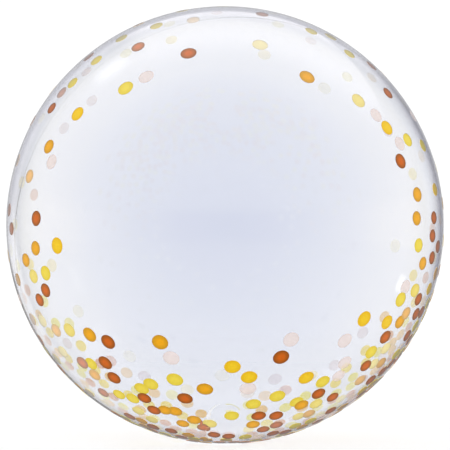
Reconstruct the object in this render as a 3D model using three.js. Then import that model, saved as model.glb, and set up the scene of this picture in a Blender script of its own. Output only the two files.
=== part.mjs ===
// A clear, sealed bubble balloon, 610 mm across, standing on a small flat spot, with its flat filling
// neck folded up against the lower front.
//
// Frame: millimetres, +Z up, the clear front window faces -Y. The origin is the centre of the flat
// spot, so the lowest face lies in the plane Z = 0.

import * as THREE from 'three';

// ---- driving sizes ---------------------------------------------------------------------------
const DIAMETER = 610;              // a "24 inch" bubble, fully inflated
const RADIUS = DIAMETER / 2;
const FLAT_RADIUS = 36;            // the small flat spot that the balloon rests on
const CENTRE_Z = Math.sqrt(RADIUS * RADIUS - FLAT_RADIUS * FLAT_RADIUS);
const ROUND_STEPS = 60;            // segments around the vertical axis
const LOWER_STEPS = 14;            // segments from the flat spot's rim up to the widest ring
const UPPER_STEPS = 15;            // segments from the widest ring up to the crown

const NECK_WIDTH = 50;             // flat width of the filling neck
const NECK_THICK = 1.6;            // its two heat-sealed films lying on each other
const NECK_END = 38;               // length of its rounded end
const NECK_ROOT_DEG = 15.5;        // where it leaves the ball, measured from straight down
const NECK_TIP_DEG = 40.0;         // where its rounded end reaches, up the front
const NECK_GAP = 0.4;              // clearance over the ball's facets
const NECK_ROWS = 26;              // steps along the neck
const NECK_COLS = 12;              // steps across the neck

const DEG = Math.PI / 180;

// ---- the skin --------------------------------------------------------------------------------
// A lathe of the half outline: the flat spot, then the arc of the ball up to the crown.
function skinGeometry() {
  const start = Math.asin(FLAT_RADIUS / RADIUS);      // angle of the flat spot's rim, from straight down
  const outline = [new THREE.Vector2(0, 0), new THREE.Vector2(FLAT_RADIUS, 0)];
  const arcPoint = (a) => new THREE.Vector2(RADIUS * Math.sin(a), CENTRE_Z - RADIUS * Math.cos(a));
  for (let i = 1; i <= LOWER_STEPS; i += 1) {
    outline.push(arcPoint(start + (Math.PI / 2 - start) * (i / LOWER_STEPS)));
  }
  for (let i = 1; i < UPPER_STEPS; i += 1) {
    outline.push(arcPoint((Math.PI / 2) * (1 + i / UPPER_STEPS)));
  }
  outline.push(new THREE.Vector2(0, CENTRE_Z + RADIUS));
  const geometry = new THREE.LatheGeometry(outline, ROUND_STEPS);
  geometry.rotateX(Math.PI / 2);                      // the lathe turns about Y; the balloon stands on Z
  return geometry;
}

// ---- the filling neck ------------------------------------------------------------------------
// A tongue that follows the ball's curve. A point of it is given by the angle up the front from
// straight down, by its distance to the side of the middle line, and by its height over the film.
function onBall(upDeg, side, height) {
  const r = RADIUS + height;
  const up = upDeg * DEG;
  const across = side / RADIUS;                       // side angle along the ball
  const x = r * Math.sin(across);
  const q = r * Math.cos(across);
  return [x, -q * Math.sin(up), CENTRE_Z - q * Math.cos(up)];
}

// Half the neck's width at a share s of its length: a slight flare where it joins the ball, parallel
// sides, and a round end.
function halfWidth(s) {
  const length = (NECK_TIP_DEG - NECK_ROOT_DEG) * DEG * RADIUS;
  const half = NECK_WIDTH / 2;
  const left = (1 - s) * length;                      // distance to the tip
  let w = half;
  if (left < NECK_END) w = half * Math.sqrt(Math.max(1 - (1 - left / NECK_END) ** 2, 0));
  const flare = 3.0 * Math.max(1 - (s * length) / 18, 0) ** 2;
  return Math.max(w + flare, 2.5);
}

function neckGeometry() {
  const position = [];
  const index = [];
  const rows = NECK_ROWS + 1;
  const cols = NECK_COLS + 1;
  for (const height of [NECK_GAP, NECK_GAP + NECK_THICK]) {
    for (let i = 0; i < rows; i += 1) {
      const s = 1 - (1 - i / NECK_ROWS) ** 1.35;      // rows crowd towards the round end
      const up = NECK_ROOT_DEG + (NECK_TIP_DEG - NECK_ROOT_DEG) * s;
      const w = halfWidth(s);
      for (let j = 0; j < cols; j += 1) {
        const side = w * (2 * (j / NECK_COLS) - 1);
        position.push(...onBall(up, side, height));
      }
    }
  }
  const layer = rows * cols;
  const id = (k, i, j) => k * layer + i * cols + j;
  const quad = (a, b, c, d) => index.push(a, b, c, a, c, d);
  for (let i = 0; i < NECK_ROWS; i += 1) {
    for (let j = 0; j < NECK_COLS; j += 1) {
      quad(id(1, i, j), id(1, i, j + 1), id(1, i + 1, j + 1), id(1, i + 1, j));   // outer face
      quad(id(0, i, j), id(0, i + 1, j), id(0, i + 1, j + 1), id(0, i, j + 1));   // face on the ball
    }
    quad(id(0, i, 0), id(1, i, 0), id(1, i + 1, 0), id(0, i + 1, 0));             // side at -X
    const e = NECK_COLS;
    quad(id(0, i, e), id(0, i + 1, e), id(1, i + 1, e), id(1, i, e));             // side at +X
  }
  for (let j = 0; j < NECK_COLS; j += 1) {
    quad(id(0, 0, j), id(0, 0, j + 1), id(1, 0, j + 1), id(1, 0, j));             // root end
    const e = NECK_ROWS;
    quad(id(0, e, j), id(1, e, j), id(1, e, j + 1), id(0, e, j + 1));             // tip end
  }
  const geometry = new THREE.BufferGeometry();
  geometry.setAttribute('position', new THREE.Float32BufferAttribute(position, 3));
  geometry.setIndex(index);
  geometry.computeVertexNormals();
  return geometry;
}

// ---- the balloon -----------------------------------------------------------------------------
const film = new THREE.MeshStandardMaterial({
  color: 0xe2e6f4, roughness: 0.05, metalness: 0.0, transparent: true, opacity: 0.35,
});
const neckFilm = new THREE.MeshStandardMaterial({
  color: 0xdfe6ee, roughness: 0.12, metalness: 0.0, transparent: true, opacity: 0.45,
});

const balloon = new THREE.Group();
balloon.name = 'bubble_balloon';

const skin = new THREE.Mesh(skinGeometry(), film);
skin.name = 'balloon_skin';
balloon.add(skin);

const neck = new THREE.Mesh(neckGeometry(), neckFilm);
neck.name = 'filling_neck';
balloon.add(neck);

export default balloon;
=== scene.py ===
"""Looks of the clear bubble balloon: the film, its weld, the printed dots and the filling neck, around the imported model."""

import math

import bpy
import numpy as np
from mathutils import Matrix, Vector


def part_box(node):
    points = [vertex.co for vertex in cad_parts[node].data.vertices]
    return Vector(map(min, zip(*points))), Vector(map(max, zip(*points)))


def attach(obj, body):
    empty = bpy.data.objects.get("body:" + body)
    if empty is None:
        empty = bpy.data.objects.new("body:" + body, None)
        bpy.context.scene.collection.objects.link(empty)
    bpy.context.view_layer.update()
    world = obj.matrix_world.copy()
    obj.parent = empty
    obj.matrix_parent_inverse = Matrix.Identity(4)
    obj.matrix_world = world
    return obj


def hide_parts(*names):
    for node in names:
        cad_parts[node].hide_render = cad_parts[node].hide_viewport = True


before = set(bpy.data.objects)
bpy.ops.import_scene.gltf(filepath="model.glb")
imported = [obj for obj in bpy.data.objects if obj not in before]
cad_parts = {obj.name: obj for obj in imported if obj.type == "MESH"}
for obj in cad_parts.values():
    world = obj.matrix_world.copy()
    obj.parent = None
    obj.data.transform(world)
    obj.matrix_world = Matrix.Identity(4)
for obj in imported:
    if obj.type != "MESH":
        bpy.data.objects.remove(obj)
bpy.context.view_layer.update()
lo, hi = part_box("balloon_skin")

R = (hi.x - lo.x) / 2            # radius of the ball
CZ = hi.z - R                    # height of its centre over the flat spot
C0 = np.array([(hi.x + lo.x) / 2, (hi.y + lo.y) / 2, CZ])
MM = 0.001
DEG = math.pi / 180

FILM = 0.30 * MM                 # thickness of the film as modelled
DOT_R = 11.1 * MM                # radius of a printed dot
SEAM_TILT = 17.0                 # how far the weld swings to the front at its foremost
SEAM_CLOCK = -50.0               # clock angle of that foremost point, from +X towards +Z
NECK_ROOT, NECK_TIP = 13.9, 40.0  # degrees from straight down, up the front
NECK_HALF = 25.0 * MM
NECK_END = 38.0 * MM


# ------------------------------------------------------------------ small tools
def srgb(r, g, b):
    """An 8-bit display colour as linear light."""
    def f(v):
        v /= 255.0
        return v / 12.92 if v <= 0.04045 else ((v + 0.055) / 1.055) ** 2.4
    return (f(r), f(g), f(b), 1.0)


def make(name, verts, faces, mats, face_mat=None, attrs=None, crisp=None):
    me = bpy.data.meshes.new(name)
    me.from_pydata([tuple(v) for v in verts], [], faces)
    for m in mats:
        me.materials.append(m)
    if face_mat is not None:
        me.polygons.foreach_set("material_index", np.asarray(face_mat, np.int32))
    me.polygons.foreach_set("use_smooth", [True] * len(me.polygons))
    for key, values in (attrs or {}).items():
        a = me.attributes.new(key, "FLOAT", "POINT")
        a.data.foreach_set("value", np.asarray(values, np.float32))
    me.update()
    me.validate()
    if crisp:
        me.set_sharp_from_angle(angle=crisp * DEG)
    ob = bpy.data.objects.new(name, me)
    bpy.context.scene.collection.objects.link(ob)
    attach(ob, "root")
    return ob


def material(name):
    m = bpy.data.materials.new(name)
    m.use_nodes = True
    nt = m.node_tree
    return m, nt, nt.nodes["Principled BSDF"]


def node(nt, kind, **sets):
    n = nt.nodes.new(kind)
    for k, v in sets.items():
        setattr(n, k, v)
    return n


# ------------------------------------------------------------------ materials
def film_material(name, tint, rough, haze, rim=1.0, ior=1.46, clear=1.0):
    """Clear film: plain glassy values, a trace of uneven tint, and, where rim is under 1, a painted dark rim: the tint
    darkened where the film is looked along.
    """
    m, nt, p = material(name)
    p.inputs["Roughness"].default_value = rough
    p.inputs["IOR"].default_value = ior
    p.inputs["Transmission Weight"].default_value = clear
    p.inputs["Metallic"].default_value = 0.0
    co = node(nt, "ShaderNodeTexCoord")
    big = node(nt, "ShaderNodeTexNoise")
    big.inputs["Scale"].default_value = 2.2
    big.inputs["Detail"].default_value = 3.0
    nt.links.new(co.outputs["Object"], big.inputs["Vector"])
    ramp = node(nt, "ShaderNodeValToRGB")
    ramp.color_ramp.elements[0].position = 0.3
    ramp.color_ramp.elements[1].position = 0.7
    a = [c * (1 - haze) for c in tint]
    b = [min(1.0, c * (1 + haze)) for c in tint]
    ramp.color_ramp.elements[0].color = (*a, 1)
    ramp.color_ramp.elements[1].color = (*b, 1)
    nt.links.new(big.outputs["Fac"], ramp.inputs["Fac"])
    if rim == 1.0:
        nt.links.new(ramp.outputs["Color"], p.inputs["Base Color"])
        return m
    # painted shade: the tint darkened where the film is looked along, for a dark rim round the ball
    graze = node(nt, "ShaderNodeLayerWeight")
    graze.inputs["Blend"].default_value = 0.5
    painted_rim_shade = node(nt, "ShaderNodeValToRGB")
    painted_rim_shade.color_ramp.elements[0].position = 0.70
    painted_rim_shade.color_ramp.elements[0].color = (1, 1, 1, 1)
    painted_rim_shade.color_ramp.elements[1].position = 1.0
    painted_rim_shade.color_ramp.elements[1].color = (rim, rim * 0.98, rim, 1)
    for pos, k in ((0.79, 0.85), (0.90, 0.64)):
        painted_rim_shade.color_ramp.elements.new(pos).color = (k, k * 0.99, k, 1)
    nt.links.new(graze.outputs["Facing"], painted_rim_shade.inputs["Fac"])
    mul = node(nt, "ShaderNodeMix", data_type="RGBA", blend_type="MULTIPLY")
    mul.inputs[0].default_value = 1.0
    nt.links.new(ramp.outputs["Color"], mul.inputs[6])
    nt.links.new(painted_rim_shade.outputs["Color"], mul.inputs[7])
    nt.links.new(mul.outputs[2], p.inputs["Base Color"])
    return m


def fine_noise(nt, low, high):
    co = node(nt, "ShaderNodeTexCoord")
    fine = node(nt, "ShaderNodeTexNoise")
    fine.inputs["Scale"].default_value = 420.0
    fine.inputs["Detail"].default_value = 2.0
    nt.links.new(co.outputs["Object"], fine.inputs["Vector"])
    shade = node(nt, "ShaderNodeMapRange")
    shade.inputs["From Min"].default_value = 0.3
    shade.inputs["From Max"].default_value = 0.7
    shade.inputs["To Min"].default_value = low
    shade.inputs["To Max"].default_value = high
    nt.links.new(fine.outputs["Fac"], shade.inputs["Value"])
    return shade.outputs["Result"]


def blend_by(nt, attribute, a, b, blend="MIX"):
    """Colour a to colour b by a point attribute, or a times b."""
    mix = node(nt, "ShaderNodeMix", data_type="RGBA", blend_type=blend)
    mix.inputs[0].default_value = 1.0
    if attribute:
        at = node(nt, "ShaderNodeAttribute", attribute_name=attribute)
        nt.links.new(at.outputs["Fac"], mix.inputs[0])
    for k, v in ((6, a), (7, b)):
        if isinstance(v, tuple):
            mix.inputs[k].default_value = v
        else:
            nt.links.new(v, mix.inputs[k])
    return mix.outputs[2]


def ink_material(name, mid, edge, rough, alpha=1.0):
    """Printed ink: a tone darker at the dot's edge, a fine uneven lay-down, then a painted shade and a painted sheen:
    darkened and greyed where it is looked along.
    """
    m, nt, p = material(name)
    p.inputs["Roughness"].default_value = rough
    p.inputs["IOR"].default_value = 1.45
    p.inputs["Specular IOR Level"].default_value = 0.12
    p.inputs["Alpha"].default_value = alpha
    at = node(nt, "ShaderNodeAttribute", attribute_name="edge")
    ramp = node(nt, "ShaderNodeValToRGB")
    ramp.color_ramp.elements[0].position = 0.35
    ramp.color_ramp.elements[0].color = mid
    ramp.color_ramp.elements[1].position = 0.95
    ramp.color_ramp.elements[1].color = edge
    nt.links.new(at.outputs["Fac"], ramp.inputs["Fac"])
    # washed toward the white underlay by the dot's wash value: paler given dots, and a painted highlight where glare
    # lies on the print
    washed_pale = blend_by(nt, "wash", ramp.outputs["Color"], (0.90, 0.89, 0.86, 1))
    uneven = blend_by(nt, None, washed_pale, fine_noise(nt, 0.93, 1.05), "MULTIPLY")
    # painted shade: the ink darkened where it is looked along, so the dots round the rim come out dark
    graze = node(nt, "ShaderNodeLayerWeight")
    graze.inputs["Blend"].default_value = 0.5
    painted_grazing_shade = node(nt, "ShaderNodeValToRGB")
    painted_grazing_shade.color_ramp.elements[0].position = 0.62
    painted_grazing_shade.color_ramp.elements[0].color = (1, 1, 1, 1)
    painted_grazing_shade.color_ramp.elements[1].position = 1.0
    painted_grazing_shade.color_ramp.elements[1].color = (0.08, 0.085, 0.11, 1)
    painted_grazing_shade.color_ramp.elements.new(0.84).color = (0.36, 0.38, 0.46, 1)
    nt.links.new(graze.outputs["Facing"], painted_grazing_shade.inputs["Fac"])
    ink_with_painted_shade = blend_by(nt, None, uneven, painted_grazing_shade.outputs["Color"], "MULTIPLY")
    # painted sheen: ink that is looked along is washed toward a warm grey, standing in for the clear film's reflection
    # over it
    over = node(nt, "ShaderNodeMapRange", interpolation_type="SMOOTHSTEP")
    over.inputs["From Min"].default_value = 0.70
    over.inputs["From Max"].default_value = 0.97
    over.inputs["To Max"].default_value = 0.50
    nt.links.new(graze.outputs["Facing"], over.inputs["Value"])
    painted_sheen = node(nt, "ShaderNodeMix", data_type="RGBA")
    nt.links.new(over.outputs["Result"], painted_sheen.inputs[0])
    nt.links.new(ink_with_painted_shade, painted_sheen.inputs[6])
    painted_sheen.inputs[7].default_value = (0.34, 0.31, 0.29, 1)
    nt.links.new(painted_sheen.outputs[2], p.inputs["Base Color"])
    return m


def underprint_material(name, faint, rich, alpha, painted_glow):
    """The print's inner side, seen through the clear film: its thin white underlay tinted by the ink, with a painted
    glow: it emits its own colour, standing in for light coming through the ink.
    """
    m, nt, p = material(name)
    p.inputs["Roughness"].default_value = 0.6
    p.inputs["Specular IOR Level"].default_value = 0.1
    p.inputs["Alpha"].default_value = alpha
    tint = blend_by(nt, "rich", faint, rich)
    uneven = blend_by(nt, None, tint, fine_noise(nt, 0.96, 1.03), "MULTIPLY")
    nt.links.new(uneven, p.inputs["Base Color"])
    # painted light: the underprint glows with its own colour
    nt.links.new(uneven, p.inputs["Emission Color"])
    p.inputs["Emission Strength"].default_value = painted_glow
    return m


# rim=0.20 gives the clear film its painted dark rim
film = film_material("clear_film", (0.842, 0.860, 0.911), 0.0, 0.006, rim=0.20)
# painted glint: partly white, diffuse film, put on the strip along the neck's left bead
painted_glint_film = film_material("neck_weld_painted_glint", (0.97, 0.98, 1.0), 0.12, 0.0, ior=1.46, clear=0.40)
neck_film = film_material("neck_film", (0.975, 0.978, 0.985), 0.0, 0.006, ior=1.22)
weld_film = film_material("weld_film", (0.985, 0.987, 0.99), 0.0, 0.006, ior=1.055)

INKS = {
    "copper": ((0.59, 0.118, 0.004, 1), (0.27, 0.078, 0.008, 1)),
    "gold": ((0.84, 0.390, 0.008, 1), (0.58, 0.285, 0.012, 1)),
    "yellow": ((0.86, 0.570, 0.018, 1), (0.78, 0.470, 0.010, 1)),
    "lemon": ((0.82, 0.660, 0.070, 1), (0.74, 0.570, 0.045, 1)),
    "blush": ((0.68, 0.520, 0.440, 1), (0.62, 0.470, 0.400, 1)),
}


# What shows of each ink from inside the ball: at the back, and in the thickly printed band round the rim.
UNDER = {
    "copper": ((0.93, 0.87, 0.85, 1), (0.70, 0.29, 0.09, 1)),
    "gold": ((0.95, 0.90, 0.82, 1), (0.86, 0.52, 0.09, 1)),
    "yellow": ((0.97, 0.93, 0.78, 1), (0.92, 0.74, 0.10, 1)),
    "lemon": ((0.96, 0.94, 0.83, 1), (0.88, 0.80, 0.16, 1)),
    "blush": ((0.93, 0.885, 0.88, 1), (0.88, 0.79, 0.75, 1)),
}
ink_mats = {}
for ink, (mid, edge) in INKS.items():
    front = ink_material("ink_" + ink, mid, edge, 0.25, 1.0 if ink != "blush" else 0.42)
    # each underprint glows at strength 0.30, a painted light
    under = underprint_material("ink_%s_underprint" % ink, *UNDER[ink], 1.0 if ink != "blush" else 0.5, 0.30)
    ink_mats[ink] = [front, under]


# ------------------------------------------------------------------ the film ball
def ball_shell(segs=192):
    base = np.linspace(0, math.pi, 150)
    fine = np.linspace(5.2, 8.6, 14) * DEG
    phis = np.unique(np.round(np.concatenate([base, fine]), 6))
    verts, faces = [], []

    def surface(rad, flip):
        first = len(verts)
        rings = []
        for ph in phis:
            r, z = rad * math.sin(ph), -rad * math.cos(ph)
            d = z + CZ - (R - rad)
            z = -CZ + (R - rad) + 0.5 * (d + math.sqrt(d * d + (1.2 * MM) ** 2))
            if ph in (phis[0], phis[-1]):
                rings.append([len(verts)])
                verts.append(C0 + (0, 0, z))
                continue
            start = len(verts)
            for i in range(segs):
                a = 2 * math.pi * i / segs
                verts.append(C0 + (r * math.cos(a), r * math.sin(a), z))
            rings.append(list(range(start, start + segs)))
        for lower, upper in zip(rings[:-1], rings[1:]):
            for i in range(segs):
                j = (i + 1) % segs
                if len(lower) == 1:
                    f = (lower[0], upper[j], upper[i])
                elif len(upper) == 1:
                    f = (lower[i], lower[j], upper[0])
                else:
                    f = (lower[i], lower[j], upper[j], upper[i])
                faces.append(tuple(reversed(f)) if flip else f)
        return first

    surface(R, False)
    surface(R - FILM, True)
    return verts, faces


v, f = ball_shell()
skin = make("film_ball", v, f, [film])
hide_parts("balloon_skin")


# ------------------------------------------------------------------ the weld round the ball
def seam_frame():
    d, c = SEAM_TILT * DEG, SEAM_CLOCK * DEG
    fore = np.array([math.cos(c) * math.cos(d), -math.sin(d), math.sin(c) * math.cos(d)])
    side = np.array([-math.sin(c), 0.0, math.cos(c)])
    n = np.cross(fore, side)
    return fore, side, n / np.linalg.norm(n)


FORE, SIDE, SEAM_N = seam_frame()


def weld_ring(segs=720):
    half, tall, steps = 2.6 * MM, 0.07 * MM, 10
    section = []
    for k in range(steps + 1):
        t = -1 + 2 * k / steps
        section.append((t * half, 0.03 * MM + tall * (1 - t * t) ** 2))
    for k in range(steps - 1, 0, -1):
        t = -1 + 2 * k / steps
        section.append((t * half, 0.015 * MM))
    verts, faces = [], []
    m = len(section)
    for i in range(segs):
        a = 2 * math.pi * i / segs
        swell = 1 + 0.10 * math.sin(47 * a) + 0.06 * math.sin(113 * a + 1.0)
        drift = 0.5 * MM * math.sin(5 * a + 0.7) * 0.6
        out = FORE * math.cos(a) + SIDE * math.sin(a)
        for w, h in section:
            p = out * R + SEAM_N * (w * swell + drift)
            p = p / np.linalg.norm(p) * (R + h)
            verts.append(C0 + p)
    for i in range(segs):
        j = (i + 1) % segs
        for k in range(m):
            l = (k + 1) % m
            faces.append((i * m + k, i * m + l, j * m + l, j * m + k))
    return verts, faces


v, f = weld_ring()
weld = make("weld_seam", v, f, [weld_film], crisp=40)


# ------------------------------------------------------------------ the shape of the filling neck
def on_ball(up, side, height):
    """A point over the lower front: up degrees from straight down, side metres across, height over the film."""
    r, up, across = R + height, up * DEG, side / R
    q = r * math.cos(across)
    return C0 + (r * math.sin(across), -q * math.sin(up), -q * math.cos(up))


NECK_LEN = (NECK_TIP - NECK_ROOT) * DEG * R


def neck_half(s):
    left = (1 - s) * NECK_LEN
    w = NECK_HALF
    if left < NECK_END:
        w = NECK_HALF * math.sqrt(max(0.0, 1 - (1 - left / NECK_END) ** 2))
    w += 5.0 * MM * max(0.0, 1 - s * NECK_LEN / (24 * MM)) ** 2
    return max(w, 1.2 * MM)


def neck_height(s, t, top):
    """Height of the tongue's top or bottom face over the ball, at a share s along and t across, -1 to 1."""
    border = min(1.0, max(0.0, (1 - abs(t)) / 0.55))
    border = border * border * (3 - 2 * border)
    end = min(1.0, (1 - s) * NECK_LEN / (16 * MM))
    end = end * end * (3 - 2 * end)
    root = min(1.0, s * NECK_LEN / (30 * MM))
    root = root * root * (3 - 2 * root)
    crease = 0.16 * MM * math.sin(8 * t + 1.3 + 2.4 * s) * (1 - s) * border
    bead = 0.62 * MM * math.exp(-((t + 0.88) / 0.065) ** 2) * end
    low = 0.44 * MM
    return low + 0.035 * MM + (1.2 * MM * border * end + crease * end + bead) * root if top else low


def neck_under(n):
    """Height of the neck's top over the ball in a direction, nothing where the neck isn't: the print runs over it."""
    if n[1] > -0.1 or n[2] > -0.5:
        return 0.0
    up = math.degrees(math.atan2(-n[1], -n[2]))
    s = (up - NECK_ROOT) / (NECK_TIP - NECK_ROOT)
    if not 0.0 < s < 1.0:
        return 0.0
    t = math.asin(max(-1.0, min(1.0, n[0]))) * R / neck_half(s)
    if abs(t) >= 1.0:
        return 0.0
    return neck_height(s, t, True) + 0.30 * MM * math.exp(-((t + 0.88) / 0.13) ** 2)


# ------------------------------------------------------------------ printed dots
def direction(clock, off):
    """A unit vector from the ball's centre: off degrees from the front axis, at a clock angle from +X towards +Z."""
    c, g = clock * DEG, off * DEG
    return np.array([math.sin(g) * math.cos(c), -math.cos(g), math.sin(g) * math.sin(c)])


def flattened(n):
    """How far the film is pressed up in a direction, where the balloon stands on its flat spot."""
    d = R * n[2] + CZ
    return 0.5 * (math.sqrt(d * d + (1.2 * MM) ** 2) - d)


class Dots:
    def __init__(self):
        self.verts, self.faces, self.mats, self.edge, self.wash, self.rich = [], [], [], [], [], []

    def add(self, n, radius, lift=0.0, segs=28, rings=4, wob=0.0, seed=0.0, wash=0.0, rich=0.0, stretch=1.0):
        u = np.cross((0.0, 1.0, 0.0), n)
        u /= np.linalg.norm(u)
        w = np.cross(n, u)                # along the meridian, the way the film draws out
        ang = radius / R
        base = len(self.verts)
        levels = [1.0, 0.93, 0.72, 0.40][:rings]
        for side, h in ((0, 0.17 * MM + lift), (1, 0.05 * MM + lift)):
            for lv in levels:
                for i in range(segs):
                    a = 2 * math.pi * i / segs
                    k = 1 + wob * (math.sin(2 * a + seed) + 0.5 * math.sin(3 * a + 2.1 * seed))
                    along, round_ = math.sin(a) * stretch, math.cos(a)
                    t = ang * lv * k * math.hypot(along, round_)
                    hh = h if (lv < 1.0 or side) else h - 0.04 * MM
                    q = (u * round_ + w * along) / math.hypot(along, round_)
                    p = n * math.cos(t) + q * math.sin(t)
                    p = p * (R + hh + neck_under(p)) + (0, 0, flattened(p))
                    self.verts.append(C0 + p)
                    self.edge.append(lv)
            self.verts.append(C0 + n * (R + h + neck_under(n)) + (0, 0, flattened(n)))
            self.edge.append(0.0)
        half = len(levels) * segs + 1
        self.wash += [wash] * (2 * half)
        self.rich += [rich] * (2 * half)
        for side in (0, 1):
            o = base + side * half
            for r in range(len(levels) - 1):
                for i in range(segs):
                    j = (i + 1) % segs
                    q = (o + r * segs + i, o + r * segs + j, o + (r + 1) * segs + j, o + (r + 1) * segs + i)
                    self.faces.append(q if side == 0 else tuple(reversed(q)))
                    self.mats.append(side)
            last = o + (len(levels) - 1) * segs
            for i in range(segs):
                j = (i + 1) % segs
                q = (last + i, last + j, o + half - 1)
                self.faces.append(q if side == 0 else tuple(reversed(q)))
                self.mats.append(side)
        for i in range(segs):
            j = (i + 1) % segs
            self.faces.append((base + j, base + i, base + half + i, base + half + j))
            self.mats.append(0)


# The print's accent dots on the front: clock angle, degrees off the front axis; then, where they differ, how far it
# is washed pale (paler print, and on some a painted highlight for glare lying on them), its size and how far it is
# drawn out (one is pinched to a sliver where the film gathers at the neck).
ACCENTS = {
    "copper": [(102, 49), (116, 60), (146, 67.5), (178, 55), (-160, 56), (-158, 61), (-135, 45), (-131, 52), (-126, 55),
               (-115, 56), (-111, 60), (-103, 50), (-93, 67.5), (-89, 68.5), (-80, 57.5), (-75, 59.5), (-67, 37.5),
               (-61, 57), (-58, 63), (-45, 60.5), (-35, 58.5), (-25, 69), (-21, 66), (-9, 68), (-3, 66.5), (2, 67.5),
               (20, 54), (39, 68), (80, 72.5), (-136, 60, 0.2), (-126, 66, 0.22), (-75.6, 65.5, 0.1), (-79.4, 66.6, 0.05),
               (-96, 63.3, 0.1), (141, 68.5, 0.35),
               (-96.8, 61, 0.1, 0.2, 5.5)],
    "gold": [(156, 57), (166, 62, 0.22), (-173, 56), (-170, 62.5), (-141, 48.5), (-119, 34.5), (-97, 45), (-105, 57),
             (-108, 58), (-99, 59.5), (-102, 63), (61, 46.5), (9, 58), (2, 56.5), (-11, 62), (-29, 61), (-26, 62, 0.15),
             (-67, 58.5), (-82, 62), (-49, 65, 0.22), (-66, 65.5, 0.2), (-131, 60.2, 0.2), (-148, 60.5, 0.3),
             (98.8, 66.3, 0.4)],
    "yellow": [(143, 53), (-173, 46.5), (-87, 37), (-81, 41), (-62, 48), (-34, 46), (-31, 55), (31, 55)],
    "lemon": [(126, 46.5), (-165, 53.5), (-165, 60, 0.12), (-146, 54.5, 0.15), (-134, 57), (-115, 49), (-108, 44), (-117, 52.5),
              (-118, 59), (-122, 61), (-88, 55.5), (-81, 51.5), (-73, 50.5), (-68, 56), (-58, 53), (-63, 61.5, 0.15),
              (-41, 57.5), (-23, 56), (-19, 61.5), (-6, 58), (25, 62), (43, 52, 0.24), (79, 52.5, 0.45), (128, 67.5), (137, 67),
              (119, 72), (109, 69), (66, 70.5), (54, 70), (-19, 62, 0.1), (-43, 63.3, 0.35), (-69, 64.4, 0.25),
              (-94.4, 60.2, 0.15), (-110.6, 66.6, 0.2), (-115, 64.4, 0.2), (-142, 65, 0.5)],
    "blush": [(118, 46), (160, 53), (-112, 37.5), (-60, 34), (-82, 45), (-44, 45.5), (-49, 52), (-53, 55), (-19, 56),
              (36, 54), (25, 57)],
}
# The same print carried round the rim and over the back face.
ROUND = {
    "copper": [(129, 76), (176, 76), (-179, 72), (47.4, 76), (-5.8, 72.4), (-31.3, 71.5), (-60.3, 72), (-77, 72.4),
               (-12, 83), (-84, 85), (-148, 78), (-120, 80), (171, 113), (-70, 122)],
    "gold": [(142, 87), (-165.2, 72.8), (-13, 75.7), (-41.4, 67, 0.15), (-132, 80), (-116, 84), (166, 90), (-98, 79),
             (-30, 118), (-102, 119)],
    "yellow": [(-130, 86), (-70, 84), (9.6, 71.3), (77, 122.5), (-15, 112), (-140, 116)],
    "lemon": [(60.7, 75.3), (21.9, 71.6), (-37.5, 62.8, 0.35), (-75, 78), (-145, 82), (-152.3, 65.3, 0.5), (-106, 78),
              (-7, 124), (-126, 128), (54, 125), (-88, 117), (120, 110)],
    "blush": [(-66, 82), (-152, 84), (-160, 81), (137, 119), (149, 116), (-72, 128), (-38, 122.5), (65, 106.5),
              (-52, 121), (30, 116), (-118, 124)],
}
groups = {ink: Dots() for ink in INKS}
LIFT = {"blush": 0.0, "lemon": 0.04, "yellow": 0.08, "gold": 0.12, "copper": 0.16}
placed = []
rng = np.random.default_rng(24)


def size_of_dot(n):
    """The film stretches most in the middle of each half as the bubble is blown, so dots come out smaller near the weld."""
    off = math.degrees(math.acos(min(1.0, abs(n[1]))))
    t = min(1.0, max(0.0, (off - 44) / 24))
    return 1.0 - 0.20 * t * t * (3 - 2 * t)


def draw_of_dot(n):
    """The film draws out along the meridian towards the weld, and so do the dots on it."""
    off = math.degrees(math.acos(min(1.0, abs(n[1]))))
    t = min(1.0, max(0.0, (off - 44) / 27))
    return 1.0 + 0.42 * t * t * (3 - 2 * t)


def painted_glare_wash(n):
    """Painted highlight: how far a dot is washed toward white over the crown, for the glare lying on the print there; a
    little all over the crown, more towards its edge.
    """
    off = math.degrees(math.acos(min(1.0, abs(n[1]))))
    crown = max(0.0, n[2] / max(1e-6, math.hypot(n[0], n[2])) - 0.6) / 0.4
    return crown * (0.10 + 0.30 * min(1.0, max(0.0, (off - 52) / 20)))


def richness(n):
    """1 in the print band round the rim, 0 well into the back or front face, less over the crown."""
    off = math.degrees(math.acos(min(1.0, abs(n[1]))))
    down = -n[2] / max(1e-6, math.hypot(n[0], n[2]))
    t = min(1.0, max(0.0, (off - 54 + 2 * max(0.0, down)) / 14))
    return t * t * (3 - 2 * t) * min(1.0, max(0.20, 0.50 + 0.85 * down))


def put(ink, n, wash=0.0, size=1.0, draw=None):
    placed.append(n)
    # each dot lies a hair over the ones printed before it
    lift = (LIFT[ink] + 0.03 * rng.uniform()) * MM
    # the wash includes a painted highlight over the crown
    groups[ink].add(n, DOT_R * size * size_of_dot(n) * rng.uniform(0.97, 1.03), lift, segs=26, rings=4, wob=0.006,
                    seed=rng.uniform(0, 6), wash=min(0.7, painted_glare_wash(n) + wash), rich=richness(n),
                    stretch=draw or draw_of_dot(n))


for spots_by_ink in (ACCENTS, ROUND):
    for ink, spots in spots_by_ink.items():
        for c, g, *wash in spots:
            put(ink, direction(c, g), *wash)


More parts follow.
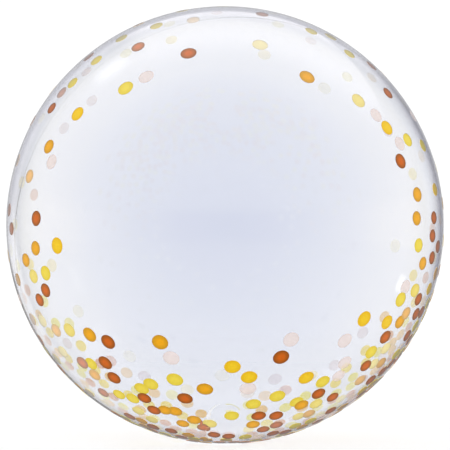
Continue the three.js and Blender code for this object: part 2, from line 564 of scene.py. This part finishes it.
def share_of_print(n):
    """How thickly the print lies in a direction: nothing in the two clear windows, thick underneath, thin over the top."""
    off = math.degrees(math.acos(max(-1.0, min(1.0, -n[1]))))
    down = -n[2] / max(1e-6, math.hypot(n[0], n[2]))          # 1 straight below, -1 straight above
    low = min(1.0, max(0.0, (down + 0.15) / 0.75))
    if off < 71.0:
        return 0.0
    if off < 106:
        return (0.10 + 0.90 * low ** 1.1) * (0.5 if n[0] < -0.45 and n[1] < 0.1 else 1.0)
    inner = 56 - 10 * max(0.0, down) ** 2 - 3 * max(0.0, -down)    # where the back window ends
    ring = min(1.0, max(0.0, (180 - off - inner) / 12))
    return ring * (0.05 + 0.68 * low ** 2.0)


def fill(tries=16000):
    names = ["copper", "gold", "yellow", "lemon", "blush"]
    odds = {True: np.array([0.34, 0.26, 0.12, 0.22, 0.06]), False: np.array([0.12, 0.28, 0.24, 0.28, 0.08])}
    for _ in range(tries):
        z = rng.uniform(-1, 1)
        a = rng.uniform(0, 2 * math.pi)
        pick, q = rng.uniform(), math.sqrt(1 - z * z)
        n = np.array([q * math.cos(a), q * math.sin(a), z])
        ink = names[int(rng.choice(5, p=odds[bool(n[1] < 0.25)]))]
        k = share_of_print(n)
        if pick > k or n[2] < -0.987 or (abs(n[0]) < 0.085 and n[2] < -0.75 and n[1] > -0.1):
            continue
        space = (17.5 + 42 * (1 - k) ** 1.5) * MM / R
        if placed and max(float(n @ p) for p in placed) > math.cos(space):
            continue
        put(ink, n, 0.45 if n[0] < -0.45 and n[1] < 0.1 and ink != "copper" else 0.0)


fill()
for ink, g in groups.items():
    ob = make("dots_" + ink, g.verts, g.faces, ink_mats[ink], g.mats, {"edge": g.edge, "wash": g.wash, "rich": g.rich})
print("dots", len(placed))


# ------------------------------------------------------------------ the filling neck
def neck_mesh(rows=100, cols=65):
    verts, faces = [], []
    for top in (True, False):
        for i in range(rows):
            q = i / (rows - 1)
            s = 1 - (1 - q) ** 1.6
            for j in range(cols):
                t = -math.cos(math.pi * j / (cols - 1))
                verts.append(on_ball(NECK_ROOT + (NECK_TIP - NECK_ROOT) * s, t * neck_half(s), neck_height(s, t, top)))
    n = rows * cols

    def at(layer, i, j):
        return layer * n + i * cols + j
    for i in range(rows - 1):
        for j in range(cols - 1):
            faces.append((at(0, i, j), at(0, i, j + 1), at(0, i + 1, j + 1), at(0, i + 1, j)))
            faces.append((at(1, i, j), at(1, i + 1, j), at(1, i + 1, j + 1), at(1, i, j + 1)))
        e = cols - 1
        faces.append((at(1, i, 0), at(0, i, 0), at(0, i + 1, 0), at(1, i + 1, 0)))
        faces.append((at(1, i, e), at(1, i + 1, e), at(0, i + 1, e), at(0, i, e)))
    e = rows - 1
    for j in range(cols - 1):
        faces.append((at(1, 0, j), at(1, 0, j + 1), at(0, 0, j + 1), at(0, 0, j)))
        faces.append((at(1, e, j), at(0, e, j), at(0, e, j + 1), at(1, e, j + 1)))
    return verts, faces


v, f = neck_mesh()
# the top faces along the left bead take the painted glint material
on_painted_glint = [1 if all(6 <= m % 65 <= 13 for m in q) and max(q) < 6500 else 0 for q in f]
neck = make("neck_films", v, f, [neck_film, painted_glint_film], on_painted_glint, crisp=40)
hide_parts("filling_neck")

# ------------------------------------------------------------------ floor, light and camera
def floor():
    rings, segs, verts, faces = [0.0, 0.4, 0.9, 1.6, 2.6, 4.2, 7.0], 64, [(0, 0, -0.0004)], []
    for r in rings[1:]:
        for i in range(segs):
            a = 2 * math.pi * i / segs
            verts.append((r * math.cos(a), r * math.sin(a), -0.0004))
    for i in range(segs):
        faces.append((0, 1 + i, 1 + (i + 1) % segs))
    for k in range(len(rings) - 2):
        for i in range(segs):
            j = (i + 1) % segs
            faces.append((1 + k * segs + i, 1 + (k + 1) * segs + i, 1 + (k + 1) * segs + j, 1 + k * segs + j))
    me = bpy.data.meshes.new("studio_floor")
    me.from_pydata(verts, [], faces)
    me.update()
    ob = bpy.data.objects.new("studio_floor", me)
    bpy.context.scene.collection.objects.link(ob)
    m = bpy.data.materials.new("studio_floor")
    m.use_nodes = True
    nt = m.node_tree
    nt.nodes.remove(nt.nodes["Principled BSDF"])
    out = nt.nodes["Material Output"]
    dif = node(nt, "ShaderNodeBsdfDiffuse")
    dif.inputs["Color"].default_value = (0.19, 0.19, 0.19, 1)
    emi = node(nt, "ShaderNodeEmission")
    emi.inputs["Color"].default_value = (1, 1, 1, 1)
    emi.inputs["Strength"].default_value = 0.835
    add = node(nt, "ShaderNodeAddShader")
    nt.links.new(dif.outputs[0], add.inputs[0])
    nt.links.new(emi.outputs[0], add.inputs[1])
    clear = node(nt, "ShaderNodeBsdfTransparent")
    geo = node(nt, "ShaderNodeNewGeometry")
    length = node(nt, "ShaderNodeVectorMath", operation="LENGTH")
    nt.links.new(geo.outputs["Position"], length.inputs[0])
    fade = node(nt, "ShaderNodeMapRange", interpolation_type="SMOOTHSTEP")
    fade.inputs["From Min"].default_value = 0.6
    fade.inputs["From Max"].default_value = 3.6
    nt.links.new(length.outputs["Value"], fade.inputs["Value"])
    mix = node(nt, "ShaderNodeMixShader")
    nt.links.new(fade.outputs["Result"], mix.inputs[0])
    nt.links.new(add.outputs[0], mix.inputs[1])
    nt.links.new(clear.outputs[0], mix.inputs[2])
    nt.links.new(mix.outputs[0], out.inputs["Surface"])
    me.materials.append(m)
    ob.visible_glossy = False         # the film mirrors the studio all round, above and below


floor()


def studio():
    """A white studio as the world's light: bright behind and all round, grey joints beside the backdrop, a dimmer, cooler
    side where the camera stands, and a few soft boxes."""
    world = bpy.data.worlds.new("studio")
    bpy.context.scene.world = world
    world.use_nodes = True
    nt = world.node_tree
    bg = nt.nodes["Background"]
    co = node(nt, "ShaderNodeTexCoord")

    def toward(d):
        n = node(nt, "ShaderNodeVectorMath", operation="DOT_PRODUCT")
        n.inputs[1].default_value = d
        nt.links.new(co.outputs["Generated"], n.inputs[0])
        return n.outputs["Value"]

    def calc(op, a, b=None, **kw):
        n = node(nt, "ShaderNodeMath", operation=op, **kw)
        for k, v in enumerate((a, b)):
            if v is None:
                continue
            if isinstance(v, (int, float)):
                n.inputs[k].default_value = v
            else:
                nt.links.new(v, n.inputs[k])
        return n.outputs[0]

    turn = calc("DIVIDE", calc("ARCCOSINE", toward((0, -1, 0))), math.pi)      # 0 at the camera's side, 1 behind
    clock = calc("ARCTAN2", toward((0, 0, 1)), toward((1, 0, 0)))
    ramp = node(nt, "ShaderNodeValToRGB")
    stops = SKY
    er = ramp.color_ramp
    while len(er.elements) < len(stops):
        er.elements.new(0.5)
    for el, (deg, col) in zip(er.elements, stops):
        el.position = deg / 180.0
        el.color = (*[c / 4 for c in col], 1)
    nt.links.new(turn, ramp.inputs["Fac"])
    total = ramp.outputs["Color"]

    def step(value, start, end):
        """0 at start, 1 at end, smoothly; start may be the larger."""
        mr = node(nt, "ShaderNodeMapRange", interpolation_type="SMOOTHSTEP")
        up = end > start
        mr.inputs["From Min"].default_value = start if up else end
        mr.inputs["From Max"].default_value = end if up else start
        mr.inputs["To Min"].default_value = 0.0 if up else 1.0
        mr.inputs["To Max"].default_value = 1.0 if up else 0.0
        nt.links.new(value, mr.inputs["Value"])
        return mr.outputs["Result"]

    for inner, outer, c0, ch, csoft, lean, colour in BOXES:
        # clock measured from the box's middle, wrapped to -180..180
        away = calc("WRAP", calc("SUBTRACT", clock, c0 * DEG), math.pi)
        away.node.inputs[2].default_value = -math.pi
        side = step(calc("ABSOLUTE", away), (ch + csoft) * DEG, ch * DEG)
        t = turn
        if lean:
            # the outer edge draws in on the clockwise side, as a straight-edged box does
            past = calc("MAXIMUM", calc("SUBTRACT", lean[0] * DEG, clock), 0.0)
            t = calc("ADD", turn, calc("MULTIPLY", past, lean[1] / math.pi))
        both = calc("MULTIPLY", calc("MULTIPLY", step(turn, inner[0] / 180, inner[1] / 180),
                                     step(t, outer[1] / 180, outer[0] / 180)), side)
        scale = node(nt, "ShaderNodeVectorMath", operation="SCALE")
        scale.inputs[0].default_value = [c / 4 for c in colour]
        nt.links.new(both, scale.inputs["Scale"])
        mix = node(nt, "ShaderNodeVectorMath", operation="ADD")
        nt.links.new(total, mix.inputs[0])
        nt.links.new(scale.outputs["Vector"], mix.inputs[1])
        total = mix.outputs["Vector"]
    nt.links.new(total, bg.inputs["Color"])
    bg.inputs["Strength"].default_value = 4.0
    # straight through the clear film, and behind the object, the studio is plain and pale on every side
    plain = node(nt, "ShaderNodeBackground")
    plain.inputs["Color"].default_value = (1.06, 1.06, 1.06, 1)
    path = node(nt, "ShaderNodeLightPath")
    gloss = calc("GREATER_THAN", path.outputs["Glossy Depth"], 0.5)
    which = node(nt, "ShaderNodeMixShader")
    nt.links.new(gloss, which.inputs[0])
    nt.links.new(plain.outputs[0], which.inputs[1])
    nt.links.new(bg.outputs[0], which.inputs[2])
    nt.links.new(which.outputs[0], nt.nodes["World Output"].inputs["Surface"])


# The studio's light by the angle from the camera's side round to the backdrop.
SKY = [
    (0, (0.14, 0.20, 0.58)), (23, (0.33, 0.34, 0.68)), (47, (0.76, 0.76, 0.88)), (60, (1.12, 1.04, 1.00)),
    (74, (1.46, 1.34, 1.20)), (89, (1.86, 1.67, 1.28)), (106, (1.86, 1.69, 1.36)), (117, (1.66, 1.52, 1.24)),
    (128, (1.34, 1.25, 1.02)), (138, (0.80, 0.77, 0.70)), (148, (0.54, 0.52, 0.54)), (155, (0.29, 0.28, 0.32)),
    (161, (0.50, 0.50, 0.53)), (169, (0.80, 0.80, 0.82)), (171.5, (1.06, 1.06, 1.06)), (180, (1.06, 1.06, 1.06)),
]
# Soft boxes: inner edge and outer edge (angles over which it comes and goes); clock angle of its middle, half width and
# soft edge; lean of the outer edge (clock where it starts, degrees per degree); colour.
BOXES = [
    ((92, 118), (148, 151), 76, 34, 12, (65, 1.02), (0.40, 0.38, 0.38)),
    ((138, 146), (156, 167), 128, 74, 24, None, (0.44, 0.44, 0.44)),
    ((136, 144), (155, 162), -148, 22, 20, None, (0.50, 0.50, 0.47)),
    ((157, 161), (169, 174), -141, 20, 16, None, (-0.36, -0.37, -0.40)),
    ((107, 118), (119, 130), 126, 2, 7, None, (0.8, 0.8, 0.8)),
    ((106, 110), (112, 116), -18.5, 1.2, 2.8, None, (2.3, 2.3, 2.2)),
    ((50, 86), (112, 138), -90, 22, 46, None, (-1.15, -1.06, -0.80)),
    ((60, 90), (108, 132), 90, 22, 46, None, (0.28, 0.28, 0.26)),
    ((82, 88), (89, 95), -160, 3, 4, None, (0.5, 0.5, 0.5)),
    ((84, 90), (91, 97), -137, 3, 4, None, (0.35, 0.35, 0.35)),
]
studio()

DIST = 3.2
cam = bpy.data.cameras.new("camera")
cam_ob = bpy.data.objects.new("camera", cam)
bpy.context.scene.collection.objects.link(cam_ob)
cam_ob.location = (C0[0], C0[1] - DIST, CZ)
cam_ob.rotation_euler = (math.pi / 2, 0, 0)
cam.sensor_width = 36.0
half = math.tan(math.asin(R / DIST)) * 225.0 / 219.0
cam.lens = cam.sensor_width / 2 / half
cam.clip_start, cam.clip_end = 0.05, 200
bpy.context.scene.camera = cam_ob

sc = bpy.context.scene
sc.view_settings.view_transform = "Standard"
sc.cycles.blur_glossy = 0.0
sc.cycles.max_bounces = 24
sc.cycles.transmission_bounces = 24
sc.cycles.transparent_max_bounces = 24
sc.cycles.use_denoising = True
